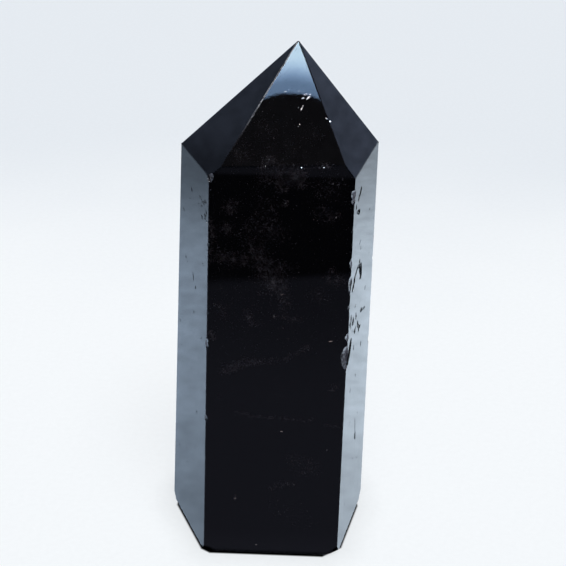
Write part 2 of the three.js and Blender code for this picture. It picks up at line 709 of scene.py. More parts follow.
@dataclass(frozen=True, eq=False)
class Facet:
    """One flat facet of the solid, in millimetres.

    A small face lies in it when the cosine between their normals is over same_way and its centre
    is less than flatness off the facet's plane.
    """

    face: Face
    normal: Vector
    foot: Vector
    corners: tuple[Vector, ...]
    same_way: float = 0.998
    flatness: float = 0.03

    @property
    def across(self) -> Vector:
        """The level direction in the facet, to the right as seen from outside."""
        return UP.cross(self.normal).normalized()

    @property
    def climb(self) -> Vector:
        """The steepest upward direction in the facet."""
        return self.normal.cross(self.across)

    def local(self, across: float, height: float, depth: float = 0.0) -> Vector:
        """Finds a place in the facet's own frame: across it, up it and out of it.

        Args:
            across: millimetres along the level direction.
            height: millimetres above the base.
            depth: millimetres under the facet.

        Returns:
            The place.
        """
        return Vector((across, (height - self.foot.z) / self.climb.z, -depth))

    def frame(self) -> Matrix:
        """The matrix from the facet's own frame to the crystal's."""
        turn = Matrix((self.across, self.climb, self.normal)).transposed().to_4x4()
        return Matrix.Translation(self.foot) @ turn

    def holds(self, normal: Vector, centre: Vector) -> bool:
        """True if a small face with this normal and centre lies in the facet."""
        off = abs((centre - self.foot).dot(self.normal))
        return normal.dot(self.normal) > self.same_way and off < self.flatness

    def edge_distance(self, point: Vector) -> float:
        """Measures how far a point in the facet is from the nearest edge.

        Args:
            point: the point.

        Returns:
            The distance in millimetres.
        """
        nearest = math.inf
        for start, end in zip(self.corners, self.corners[1:] + self.corners[:1]):
            along = (end - start).normalized()
            offset = point - start
            nearest = min(nearest, (offset - along * offset.dot(along)).length)
        return nearest


class Solid:
    """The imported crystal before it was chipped: its facets and the mesh between them.

    Lengths are in millimetres. Points closer than the weld are one, faces that meet at less than
    the flat angle are one, and areas over the large area count the same when a facet is looked for.
    """

    WELD = 1e-3
    FLAT_ANGLE = math.radians(0.8)
    LARGE_AREA = 20.0
    SHORTEST_SIDE = 0.3

    def __init__(self, node: bpy.types.Object) -> None:
        """Reads the facets.

        Args:
            node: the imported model's crystal.
        """
        self.mesh = self._unchipped(node)
        self.facets = self._find_facets()

    def _unchipped(self, node: bpy.types.Object) -> bmesh.types.BMesh:
        """Wraps the solid's corners in flat faces, which closes its edge chips.

        Args:
            node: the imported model's crystal, whose mesh is only read.

        Returns:
            The wrapped solid in millimetres.
        """
        wrap = bmesh.new()
        for vertex in node.data.vertices:
            wrap.verts.new(vertex.co / MM)
        bmesh.ops.remove_doubles(wrap, verts=wrap.verts[:], dist=self.WELD)
        hull = bmesh.ops.convex_hull(wrap, input=wrap.verts[:], use_existing_faces=False)
        unused = {*hull["geom_interior"], *hull["geom_unused"]}
        inner = [part for part in unused if isinstance(part, bmesh.types.BMVert)]
        bmesh.ops.delete(wrap, geom=inner, context="VERTS")
        bmesh.ops.dissolve_limit(
            wrap, angle_limit=self.FLAT_ANGLE, verts=wrap.verts[:], edges=wrap.edges[:]
        )
        bmesh.ops.recalc_face_normals(wrap, faces=wrap.faces[:])
        return wrap

    def _find_facets(self) -> dict[Face, Facet]:
        """Names the large faces of the wrapped solid.

        Returns:
            One facet for each face.
        """
        facets = {}
        for face in Face:
            wanted = face.direction()
            found = max(
                self.mesh.faces,
                key=lambda part: part.normal.dot(wanted) * min(part.calc_area(), self.LARGE_AREA),
            )
            normal = found.normal.copy()
            foot = normal * found.verts[0].co.dot(normal)
            facets[face] = Facet(face, normal, foot, tuple(v.co.copy() for v in found.verts))
        return facets

    def outline(self) -> list[Plane]:
        """The sides of the base, which rests on the floor, but for the shortest.

        Returns:
            The outward direction (x, y) and the reach in metres of each side.
        """
        base = min(self.mesh.faces, key=lambda face: face.normal.z * face.calc_area())
        rows = []
        for loop in base.loops:
            start, end = loop.vert.co, loop.link_loop_next.vert.co
            run = end - start
            if run.length > self.SHORTEST_SIDE:
                out = Vector((-run.y, run.x, 0.0)).normalized()
                rows.append((out.xy, out.dot(start) * MM))
        return rows

    def edge_point(self, first: Face, second: Face, height: float) -> Vector:
        """The point where two upright facets meet at some height.

        Args:
            first: one facet.
            second: its neighbour.
            height: millimetres above the base.

        Returns:
            The point, in millimetres.
        """
        a, b = self.facets[first], self.facets[second]
        rows = Matrix((a.normal, b.normal, UP))
        reaches = Vector((a.foot.dot(a.normal), b.foot.dot(b.normal), height))
        return rows.inverted() @ reaches


# ---- Chips and pits ------------------------------------------------------------------------


@dataclass(frozen=True)
class Breakage:
    """How a knock breaks quartz: rings spread from the strike, and the skin is uneven.

    The rings are ring millimetres apart and ridge high, and sway by a part of a turn. Each level
    pairs a largest half size in millimetres with how often a lump over that size is subdivided.
    """

    ring: float
    ridge: float
    ragged: float
    sway: float = 0.5
    sway_scale: float = 0.9
    lumps_scale: float = 1.9
    splinters_scale: float = 5.0
    splinters_share: float = 0.5
    seed_steps: Triple = (3.7, 1.3, 2.1)
    levels: tuple[tuple[float, int], ...] = ((1.9, 6), (0.7, 5), (0.0, 4))

    def lump(self, radii: Vector, strike: Vector, seed: int) -> bmesh.types.BMesh:
        """Makes a rounded lump with a broken skin, to cut a hollow with.

        Args:
            radii: its three half sizes, in millimetres.
            strike: the place that the rings are centred on, in its own frame.
            seed: picks the unevenness.

        Returns:
            The lump, centred on the origin.
        """
        lump = bmesh.new()
        level = next(level for size, level in self.levels if max(radii) > size)
        bmesh.ops.create_icosphere(lump, subdivisions=level, radius=1.0)
        shift = Vector(seed * step for step in self.seed_steps)
        for vertex in lump.verts:
            out = vertex.co.normalized()
            place = Vector(out[i] * radii[i] for i in range(3))
            sway = self.sway * noise.noise(place * self.sway_scale + shift)
            turns = (place - strike).length / self.ring + sway
            uneven = noise.noise(out * self.lumps_scale + shift)
            uneven += self.splinters_share * noise.noise(out * self.splinters_scale - shift)
            vertex.co = place * (1.0 + self.ragged * uneven) + out * self.ridge * math.sin(math.tau * turns)
        return lump


SHELL = Breakage(0.40, 0.032, 0.04)
SCALLOP = Breakage(0.30, 0.02, 0.10)
SPLINTER = Breakage(0.30, 0.012, 0.16)


@dataclass(frozen=True)
class EdgeChip:
    """A shell-shaped bite out of an upright edge, in millimetres and degrees."""

    first: Face
    second: Face
    height: float
    length: float
    bite: float
    hollow: float
    turn: float
    breakage: Breakage = SCALLOP

    def cutter(self, solid: Solid, seed: int) -> bmesh.types.BMesh:
        """The lump that knocks the chip out.

        Args:
            solid: the crystal's facets.
            seed: picks the unevenness.

        Returns:
            The lump in its place.
        """
        here = solid.edge_point(self.first, self.second, self.height)
        along = (solid.edge_point(self.first, self.second, self.height + 1.0) - here).normalized()
        out = (solid.facets[self.first].normal + solid.facets[self.second].normal).normalized()
        out = Matrix.Rotation(math.radians(self.turn), 3, along) @ out
        stand_off = self.hollow - self.bite
        half_chord = math.sqrt(self.hollow**2 - stand_off**2)
        radii = Vector((self.hollow, self.hollow, self.hollow * self.length / (2.0 * half_chord)))
        lump = self.breakage.lump(radii, Vector((-stand_off, 0.0, 0.0)), seed)
        turn = Matrix((out, along.cross(out), along)).transposed().to_4x4()
        lump.transform(Matrix.Translation(here + out * stand_off) @ turn)
        return lump


@dataclass(frozen=True)
class Stroke:
    """A short stroke on a facet, between two (across, height) places in millimetres."""

    face: Face
    start: Span
    end: Span
    width: float

    def length(self, solid: Solid) -> float:
        """The stroke's full length, which is never less than its width."""
        facet = solid.facets[self.face]
        return (facet.local(*self.end) - facet.local(*self.start)).length + self.width

    def frame(self, solid: Solid, depth: float = 0.0, lean: float = 0.0) -> Matrix:
        """The matrix from the stroke's own frame, whose Y runs along it and Z out of the facet.

        Args:
            solid: the crystal's facets.
            depth: how far the stroke lies under the facet.
            lean: how far it is tipped up the facet, in degrees.

        Returns:
            The matrix.
        """
        facet = solid.facets[self.face]
        start, end = facet.local(*self.start, depth), facet.local(*self.end, depth)
        run = end - start
        turn = Matrix.Rotation(-math.atan2(run.x, run.y), 4, "Z")
        tip = Matrix.Rotation(-math.radians(lean), 4, "X")
        return facet.frame() @ Matrix.Translation((start + end) / 2.0) @ tip @ turn


@dataclass(frozen=True)
class Gash(Stroke):
    """A splintered hollow in a facet."""

    depth: float
    breakage: Breakage = SPLINTER

    def cutter(self, solid: Solid, seed: int) -> bmesh.types.BMesh:
        """The splinter that leaves the hollow.

        Args:
            solid: the crystal's facets.
            seed: picks the unevenness.

        Returns:
            The splinter in its place.
        """
        half = self.length(solid) / 2.0
        radii = Vector((self.width / 2.0, half, self.depth))
        splinter = self.breakage.lump(radii, Vector((0.0, -half, 0.0)), seed)
        splinter.transform(self.frame(solid))
        return splinter


@dataclass(frozen=True)
class Peppering:
    """Many tiny pits strewn over a patch of a facet, in millimetres.

    Each pit leans and rises by a share of its width, and has a share of the full depth.
    """

    face: Face
    centre: Span
    spread: Span
    count: int
    width: Span
    depth: float
    seed: int
    lean: Span = (-0.8, 0.8)
    rise: Span = (0.2, 1.2)
    depth_share: Span = (0.5, 1.0)

    def gashes(self) -> list[Gash]:
        """Draws the pits at random inside the patch.

        Returns:
            The pits.
        """
        draw = random.Random(self.seed)
        pits = []
        for _ in range(self.count):
            across = self.centre[0] + self.spread[0] * draw.uniform(-1.0, 1.0)
            height = self.centre[1] + self.spread[1] * draw.uniform(-1.0, 1.0)
            width = draw.uniform(*self.width)
            end = (across + width * draw.uniform(*self.lean), height + width * draw.uniform(*self.rise))
            depth = self.depth * draw.uniform(*self.depth_share)
            pits.append(Gash(self.face, (across, height), end, width, depth))
        return pits


# Short names for the rows below.
F, FR, FL = Face.FRONT, Face.FRONT_RIGHT, Face.FRONT_LEFT
BR, B, BL = Face.BACK_RIGHT, Face.BACK, Face.BACK_LEFT
CF = Face.CROWN_FRONT

EDGE_CHIPS = (
    EdgeChip(F, FR, 43.4, 5.0, 0.62, 2.9, -8.0, SHELL),
    EdgeChip(F, FR, 41.9, 2.0, 0.55, 1.3, 6.0),
    EdgeChip(F, FR, 47.4, 1.9, 0.35, 1.4, 14.0),
    EdgeChip(F, FR, 57.6, 3.5, 0.30, 2.2, 30.0),
    EdgeChip(F, FR, 61.6, 2.0, 0.25, 1.3, 26.0),
    EdgeChip(F, FR, 53.2, 1.3, 0.16, 0.9, 14.0),
    EdgeChip(F, FR, 67.4, 0.9, 0.13, 0.7, 10.0),
    EdgeChip(F, FR, 74.0, 1.8, 0.50, 1.1, 4.0),
    EdgeChip(F, FR, 72.9, 1.5, 0.34, 0.9, -4.0),
    EdgeChip(F, FR, 30.6, 0.8, 0.12, 0.6, 4.0),
    EdgeChip(F, FR, 17.5, 0.9, 0.12, 0.7, -4.0),
    EdgeChip(FR, BR, 37.0, 1.6, 0.34, 1.2, -14.0),
    EdgeChip(FR, BR, 54.1, 1.3, 0.30, 0.8, -14.0),
    EdgeChip(FL, F, 76.3, 2.2, 0.55, 1.2, 8.0),
    EdgeChip(FL, F, 77.1, 1.2, 0.55, 0.7, 26.0),
    EdgeChip(FL, F, 75.6, 0.7, 0.30, 0.4, 14.0),
    EdgeChip(FL, F, 45.2, 2.2, 0.26, 1.0, -18.0),
    EdgeChip(FL, F, 30.0, 1.3, 0.24, 0.8, -18.0),
    EdgeChip(FL, F, 64.0, 1.0, 0.14, 0.7, -10.0),
    EdgeChip(FL, F, 51.0, 1.2, 0.14, 0.8, -10.0),
    EdgeChip(B, BL, 22.5, 1.4, 0.20, 1.0, 5.0),
    EdgeChip(BR, B, 61.0, 1.1, 0.16, 0.8, -5.0),
)

GASHES = (
    # The scoop that joins the big edge chip on the right facet.
    Gash(FR, (-7.9, 44.9), (-8.9, 42.6), 1.9, 0.60, SHELL),
    Gash(FR, (-9.0, 42.3), (-9.4, 41.7), 1.0, 0.45),
    # An arrow-shaped break near the right facet's front edge.
    Gash(FR, (-3.5, 58.8), (-3.7, 58.0), 0.9, 0.40),
    Gash(FR, (-3.9, 58.2), (-2.8, 57.4), 0.9, 0.35),
    Gash(FR, (-2.5, 57.4), (-2.0, 55.2), 1.5, 0.55),
    Gash(FR, (-3.1, 57.0), (-2.7, 56.4), 1.2, 0.34),
    Gash(FR, (-2.3, 55.3), (-2.9, 55.2), 0.7, 0.25),
    Gash(FR, (-4.2, 58.2), (-5.3, 58.2), 0.8, 0.25),
    Gash(FR, (-5.4, 58.1), (-6.2, 57.6), 0.8, 0.10),
    Gash(FR, (-6.2, 57.7), (-6.9, 57.3), 0.9, 0.18),
    Gash(FR, (-6.8, 57.1), (-7.3, 56.5), 1.3, 0.46),
    Gash(FR, (-7.4, 56.5), (-7.9, 55.7), 1.3, 0.46),
    # Slanting gouges near its top.
    Gash(FR, (-4.9, 73.0), (-5.4, 72.6), 1.1, 0.38),
    Gash(FR, (-5.6, 72.5), (-6.5, 71.9), 0.9, 0.30),
    Gash(FR, (-7.8, 71.2), (-8.0, 70.9), 0.7, 0.20),
    Gash(FR, (-5.4, 69.1), (-5.9, 69.4), 1.0, 0.34),
    Gash(FR, (-6.2, 69.5), (-7.3, 70.0), 0.9, 0.14),
    # A dash and a scatter of nicks at half height.
    Gash(FR, (-0.9, 47.6), (0.1, 47.3), 0.9, 0.32),
    Gash(FR, (0.3, 47.2), (2.5, 46.4), 0.6, 0.12),
    Gash(FR, (-2.0, 45.0), (-1.8, 44.1), 0.9, 0.32),
    Gash(FR, (-1.4, 44.5), (-0.8, 44.3), 0.7, 0.24),
    Gash(FR, (-3.0, 46.3), (-2.8, 45.5), 0.9, 0.20),
    Gash(FR, (-5.4, 46.0), (-4.9, 45.4), 0.7, 0.15),
    Gash(FR, (-8.9, 49.3), (-8.7, 48.9), 0.9, 0.24),
    Gash(FR, (-7.1, 48.7), (-6.9, 48.2), 0.8, 0.24),
    Gash(FR, (-6.4, 49.0), (-6.2, 48.5), 0.7, 0.20),
    Gash(FR, (-4.6, 48.8), (-4.3, 48.0), 0.8, 0.10),
    Gash(FR, (-8.5, 50.4), (-8.1, 49.8), 1.1, 0.08),
    Gash(FR, (-5.4, 42.7), (-5.3, 42.3), 0.8, 0.08),
    Gash(FR, (0.4, 40.1), (0.5, 39.7), 0.8, 0.08),
    # A long fine scratch that ends in a pit.
    Gash(FR, (-1.4, 24.6), (-0.8, 21.3), 0.40, 0.09),
    Gash(FR, (-0.9, 20.9), (-0.4, 19.6), 0.75, 0.26),
    # Fine pits on the left facet.
    Gash(FL, (1.0, 55.2), (1.3, 53.9), 0.40, 0.10),
    Gash(FL, (2.4, 53.1), (2.4, 52.9), 0.45, 0.12),
    Gash(FL, (-2.8, 56.5), (-2.7, 56.3), 0.40, 0.09),
    Gash(FL, (-4.2, 65.2), (-4.1, 64.8), 0.40, 0.09),
    Gash(FL, (-0.4, 70.6), (-0.3, 70.2), 0.45, 0.10),
    Gash(FL, (1.8, 47.8), (1.8, 47.6), 0.40, 0.10),
    Gash(FL, (4.4, 28.4), (4.4, 28.1), 0.40, 0.10),
)

PEPPERINGS = (
    Peppering(FL, (5.6, 69.4), (1.9, 2.0), 16, (0.22, 0.50), 0.10, 3),
    Peppering(FL, (0.0, 40.0), (7.0, 32.0), 22, (0.16, 0.34), 0.06, 4),
    Peppering(FR, (0.0, 36.0), (7.0, 30.0), 18, (0.20, 0.50), 0.06, 5),
    Peppering(FR, (-6.0, 46.6), (2.6, 2.4), 8, (0.25, 0.50), 0.10, 6),
)


# ---- The crystal ---------------------------------------------------------------------------


class Skin(IntEnum):
    """What a face of the crystal is, which its material index says until it is dressed."""

    POLISHED = 0
    BROKEN = 1


@dataclass
class Crystal:
    """The polished crystal, in millimetres. Edge wear is the share of white on rubbed edges."""

    solid: Solid
    finish: MorionQuartz
    name: str = "morion_point"
    edge_round: float = 0.13
    round_steps: int = 2
    roundness: float = 0.5
    shortest_rounded: float = 0.6
    grid_steps: Triple = (1.0, 1.0, 0.6)
    grid_weld: float = 0.01
    chip_weld: float = 2e-4
    pillow_rise: float = 0.006
    pillow_width: float = 2.2
    broad_wave: float = 17.0
    broad_rise: float = 0.007
    fine_wave: float = 5.0
    fine_rise: float = 0.0011
    wave_shift: float = 40.0
    crown_share: float = 0.2
    edge_wear: float = 0.08
    worst_worn: tuple[Face, Face] = (Face.CROWN_FRONT, Face.CROWN_FRONT_LEFT)
    wear_heights: Span = (79.8, 86.0)
    crush_depths: Span = (0.38, 1.0)
    ridge_angle: float = 38.0

    def build(self) -> bpy.types.Object:
        """Builds and dresses the crystal.

        Returns:
            The finished piece.
        """
        blank = self.solid.mesh.copy()
        self._round_edges(blank)
        self._divide(blank)
        self._ripple(blank)
        whole = show(self.name, to_mesh(blank, self.name))
        self._knock(whole)
        self._mark_faces(whole.data)
        return dress(whole, self.finish.make())

    def _round_edges(self, blank: bmesh.types.BMesh) -> None:
        """Rubs a narrow round along every edge but the shortest.

        Args:
            blank: the crystal, which is changed.
        """
        edges = [edge for edge in blank.edges if edge.calc_length() > self.shortest_rounded]
        bmesh.ops.bevel(
            blank,
            geom=edges,
            offset=self.edge_round,
            offset_type="OFFSET",
            segments=self.round_steps,
            profile=self.roundness,
            affect="EDGES",
            clamp_overlap=False,
        )

    def _divide(self, blank: bmesh.types.BMesh) -> None:
        """Cuts the faces into a fine grid.

        Args:
            blank: the crystal, which is changed.
        """
        spans = [[vertex.co[axis] for vertex in blank.verts] for axis in range(3)]
        for normal, span, step in zip(Matrix.Identity(3), spans, self.grid_steps):
            for index in range(math.floor(min(span) / step) + 1, math.ceil(max(span) / step)):
                bmesh.ops.bisect_plane(
                    blank,
                    geom=blank.verts[:] + blank.edges[:] + blank.faces[:],
                    dist=self.grid_weld,
                    plane_co=normal * index * step,
                    plane_no=normal,
                )

    def _ripple(self, blank: bmesh.types.BMesh) -> None:
        """Gives each facet but the base the soft waves of hand polishing.

        Args:
            blank: the crystal, which is changed.
        """
        owner = {face: self._facet_of(face) for face in blank.faces}
        moves = []
        for vertex in blank.verts:
            facets = {owner[face] for face in vertex.link_faces}
            facet = facets.pop()
            if facets or facet is None or facet.face is Face.BASE:
                continue
            moves.append((vertex, facet.normal * self._ripple_height(vertex.co, facet)))
        for vertex, move in moves:
            vertex.co += move

    def _ripple_height(self, point: Vector, facet: Facet) -> float:
        """How far the polish stands proud of the flat facet.

        Args:
            point: the place in the facet.
            facet: the facet.

        Returns:
            The height in millimetres, which dies out at the facet's edges.
        """
        inset = max(facet.edge_distance(point) - self.edge_round, 0.0)
        inner = min(inset / self.pillow_width, 1.0)
        shift = facet.normal * self.wave_shift
        broad = self.broad_rise * noise.noise(point / self.broad_wave + shift)
        fine = self.fine_rise * noise.noise(point / self.fine_wave - shift)
        pillow = (1.0 - (1.0 - inner) ** 2) * self.pillow_rise
        share = self.crown_share if facet.face.name.startswith("CROWN") else 1.0
        return share * (pillow + inner * inner * (broad + fine))

    def _facet_of(self, face: bmesh.types.BMFace) -> Facet | None:
        """Finds the facet that a small face lies in.

        Args:
            face: the small face.

        Returns:
            The facet, or None on a round or a chip.
        """
        centre = face.calc_center_median()
        for facet in self.solid.facets.values():
            if facet.holds(face.normal, centre):
                return facet
        return None

    def _knock(self, whole: bpy.types.Object) -> None:
        """Knocks the chips and pits out, and marks their faces as broken.

        Args:
            whole: the crystal, which is changed.
        """
        flaws = [*EDGE_CHIPS, *GASHES]
        for peppering in PEPPERINGS:
            flaws += peppering.gashes()
        skins = [bpy.data.materials.new(f"{skin.name.lower()}_skin") for skin in Skin]
        cutters = []
        for batch in self._batches([flaw.cutter(self.solid, seed) for seed, flaw in enumerate(flaws)]):
            cutters.append(show("cutters", to_mesh(batch, "cutters")))
            knock = whole.modifiers.new("knock", "BOOLEAN")
            knock.operation = "DIFFERENCE"
            knock.solver = "MANIFOLD"
            knock.object = cutters[-1]
        for thing in (whole, *cutters):
            for skin in skins:
                thing.data.materials.append(skin)
        depsgraph = bpy.context.evaluated_depsgraph_get()
        knocked = bpy.data.meshes.new_from_object(whole.evaluated_get(depsgraph))
        whole.modifiers.clear()
        whole.data = knocked
        knocked.name = self.name
        for cutter in cutters:
            bpy.data.objects.remove(cutter)
        log.info("%s: %d chips and pits knocked out in %d turns", self.name, len(flaws), len(cutters))

    @staticmethod
    def _batches(lumps: list[bmesh.types.BMesh]) -> list[bmesh.types.BMesh]:
        """Joins cutting lumps that don't touch each other, so that few cuts are needed.

        Args:
            lumps: the lumps, which are used up.

        Returns:
            Joined lumps marked as broken, none touching another in the same mesh.
        """
        batches = []
        for lump in lumps:
            centre = sum((vertex.co for vertex in lump.verts), Vector()) / len(lump.verts)
            reach = max((vertex.co - centre).length for vertex in lump.verts)
            for joined, balls in batches:
                if all((centre - other).length > reach + span for other, span in balls):
                    break
            else:
                joined, balls = bmesh.new(), []
                batches.append((joined, balls))
            balls.append((centre, reach))
            mesh = to_mesh(lump, "lump")
            joined.from_mesh(mesh)
            bpy.data.meshes.remove(mesh)
        for joined, _ in batches:
            for face in joined.faces:
                face.material_index = Skin.BROKEN
        return [joined for joined, _ in batches]

    def _mark_faces(self, mesh: bpy.types.Mesh) -> None:
        """Stores what each face is, and creases the borders between facets, rounds and chips.

        Args:
            mesh: the chipped crystal, in millimetres.
        """
        work = bmesh.new()
        work.from_mesh(mesh)
        bmesh.ops.remove_doubles(work, verts=work.verts[:], dist=self.chip_weld)
        fracture = work.faces.layers.float.new("fracture")
        edge_wear = work.faces.layers.float.new("edge_wear")
        kinds = {}
        for face in work.faces:
            face.smooth = True
            broken = face.material_index == Skin.BROKEN
            facet = None if broken else self._facet_of(face)
            kinds[face] = facet.face if facet else face.material_index
            face[fracture] = float(broken)
            if broken:
                face[edge_wear] = self._crush_of(face)
            else:
                face[edge_wear] = 0.0 if facet else self._wear_of(face)
        for edge in work.edges:
            same = len({kinds[face] for face in edge.link_faces}) == 1
            edge.smooth = same and edge.calc_face_angle(0.0) < math.radians(self.ridge_angle)
        for face in work.faces:
            face.material_index = Skin.POLISHED
        work.to_mesh(mesh)
        work.free()

    def _crush_of(self, face: bmesh.types.BMFace) -> float:
        """Finds how white a broken face is crushed, which is most a little way in from an edge.

        Args:
            face: the broken face.

        Returns:
            The share of white.
        """
        centre = face.calc_center_median()
        depths = sorted((facet.foot - centre).dot(facet.normal) for facet in self.solid.facets.values())
        depth = max(depths[1], 0.0)
        onset, end = self.crush_depths
        return min(1.0, depth / onset) ** 2 * max(0.0, 1.0 - depth / end)

    def _wear_of(self, face: bmesh.types.BMFace) -> float:
        """Finds how white a rounded edge is rubbed, from the two facets that it lies between.

        Args:
            face: a face on the edge.

        Returns:
            The share of white.
        """
        facets = sorted(self.solid.facets.values(), key=lambda facet: facet.normal.dot(face.normal))
        between = {facet.face for facet in facets[-2:]}
        if between != set(self.worst_worn):
            return self.edge_wear
        low, high = self.wear_heights
        climb = (face.calc_center_median().z - low) / (high - low)
        return max(self.edge_wear**2, min(1.0, climb))


# ---- Flaws sealed in the crystal -----------------------------------------------------------


@dataclass(frozen=True)
class Veil:
    """A drift of specks along a path under a facet, in millimetres.

    The path's points are (across, height). Spread is how far specks stray across the path,
    and thickness how far they stray in depth. A high clump leaves only the densest clumps.
    """

    face: Face
    path: tuple[Span, ...]
    spread: float
    count: int
    clump: float = 0.46
    depth: float = 0.5
    thickness: float = 0.3
    speck: float = 0.105


VEILS = (
    # Faint haze all through the upper half.
    Veil(F, ((-8.0, 74.0), (-6.0, 67.0), (-8.0, 60.0)), 4.5, 670, 0.5, speck=0.08),
    Veil(F, ((1.0, 74.5), (7.0, 72.0), (7.0, 62.0)), 4.5, 410, 0.5, speck=0.08),
    Veil(F, ((-6.0, 56.0), (-5.0, 47.0)), 5.5, 480, 0.5, speck=0.08),
    Veil(F, ((5.0, 56.0), (6.0, 48.0)), 5.0, 250, 0.5, speck=0.08),
    Veil(CF, ((-3.0, 84.0), (-4.0, 80.0), (4.0, 81.0)), 3.0, 570, 0.5, speck=0.08),
    # Cloud under the front facet's upper rim.
    Veil(F, ((-3.0, 76.4), (-1.2, 77.2), (1.0, 77.0), (3.6, 76.8)), 1.2, 710, 0.45),
    Veil(F, ((3.2, 76.7), (2.6, 75.8)), 0.9, 320, 0.42),
    Veil(F, ((0.2, 76.6), (0.7, 74.4)), 0.7, 220, 0.45),
    Veil(F, ((6.4, 75.6), (9.6, 74.6)), 1.5, 220, 0.47),
    # Drifts lower down, left and right.
    Veil(F, ((-8.4, 70.2), (-6.8, 71.8)), 0.8, 200, 0.44),
    Veil(F, ((-10.6, 65.0), (-10.9, 68.4)), 0.5, 110, 0.42),
    Veil(F, ((-8.9, 67.4), (-8.2, 66.6)), 0.7, 140, 0.45),
    Veil(F, ((-3.0, 73.4), (-2.2, 71.4), (-3.0, 69.0), (-4.6, 66.4), (-5.0, 64.0)), 1.5, 450, 0.46),
    Veil(F, ((1.0, 72.2), (1.2, 71.8)), 0.4, 60, 0.4),
    Veil(F, ((6.2, 70.9), (8.0, 70.2), (9.7, 69.8)), 0.8, 190, 0.44),
    Veil(F, ((-1.6, 69.0), (-0.6, 66.2), (0.9, 66.4)), 1.3, 370, 0.46),
    Veil(F, ((-11.6, 68.6), (-11.5, 64.0), (-11.4, 60.5)), 0.7, 340, 0.44),
    # A long drift that falls from left to right into the bright column.
    Veil(F, ((-10.8, 62.6), (-8.4, 61.6), (-6.0, 61.2), (-4.2, 62.0)), 0.9, 470, 0.44),
    Veil(F, ((-3.6, 64.4), (-2.4, 61.8), (-1.4, 59.6), (-0.4, 57.6), (0.6, 56.4)), 1.0, 880, 0.42),
    Veil(F, ((-2.2, 60.4), (-0.8, 58.2), (0.0, 56.6)), 1.6, 510, 0.43),
    Veil(F, ((-1.8, 60.6), (0.4, 60.2), (3.4, 60.4)), 0.7, 260, 0.49),
    Veil(F, ((0.8, 57.6), (1.6, 54.6), (1.9, 52.4)), 0.8, 370, 0.45),
    Veil(F, ((8.8, 59.2), (10.9, 58.0)), 0.9, 260, 0.47),
    Veil(F, ((6.4, 55.6), (8.0, 54.8)), 0.9, 100, 0.49),
    # Small drifts in the lower half.
    Veil(F, ((-4.6, 51.8), (-4.0, 49.6), (-2.6, 48.9)), 0.35, 140, 0.42),
    Veil(F, ((-0.4, 51.2), (1.6, 50.7), (4.6, 50.2)), 0.3, 120, 0.42),
    Veil(F, ((-9.4, 52.8), (-8.4, 50.0)), 0.6, 70, 0.45),
    Veil(F, ((-10.8, 47.4), (-10.4, 46.2)), 0.4, 70, 0.38),
    Veil(F, ((-8.6, 39.6), (-6.6, 40.6), (-4.6, 41.6), (-2.8, 41.7)), 0.6, 460, 0.43),
    Veil(F, ((-2.8, 41.7), (1.8, 42.3), (6.2, 45.4)), 0.4, 260, 0.45),
    Veil(F, ((10.0, 36.4), (11.3, 37.3)), 0.4, 60, 0.42),
    Veil(F, ((-6.5, 31.2), (-2.8, 30.5), (2.2, 30.3), (6.6, 29.7), (7.8, 30.6)), 0.25, 280, 0.44),
    Veil(F, ((9.6, 29.2), (12.0, 28.8)), 0.25, 60, 0.42),
    Veil(F, ((3.6, 21.6), (6.6, 21.4), (8.3, 20.2), (7.4, 18.8), (5.6, 19.4)), 0.8, 340, 0.47),
    Veil(F, ((0.4, 14.8), (2.2, 16.0), (4.6, 16.1)), 0.5, 130, 0.45),
    Veil(F, ((-6.0, 12.2), (-5.9, 13.1)), 0.2, 30, 0.38),
    Veil(F, ((0.2, 10.8), (4.0, 9.0), (8.0, 8.4)), 1.6, 120, 0.52),
    # Wisps under the front pyramid facet.
    Veil(CF, ((-5.4, 80.7), (-5.9, 79.4), (-7.2, 80.2)), 0.8, 190, 0.45),
    Veil(CF, ((-1.7, 78.7), (-1.2, 79.5), (0.2, 79.2)), 0.5, 160, 0.42),
    Veil(CF, ((5.0, 83.6), (6.6, 82.4)), 0.9, 70, 0.45),
    Veil(CF, ((6.4, 79.0), (8.9, 78.9)), 0.5, 110, 0.42),
    Veil(CF, ((-2.9, 85.3), (-1.0, 83.0)), 0.9, 70, 0.49),
    Veil(CF, ((0.0, 81.0), (4.0, 80.6)), 1.6, 80, 0.52),
)


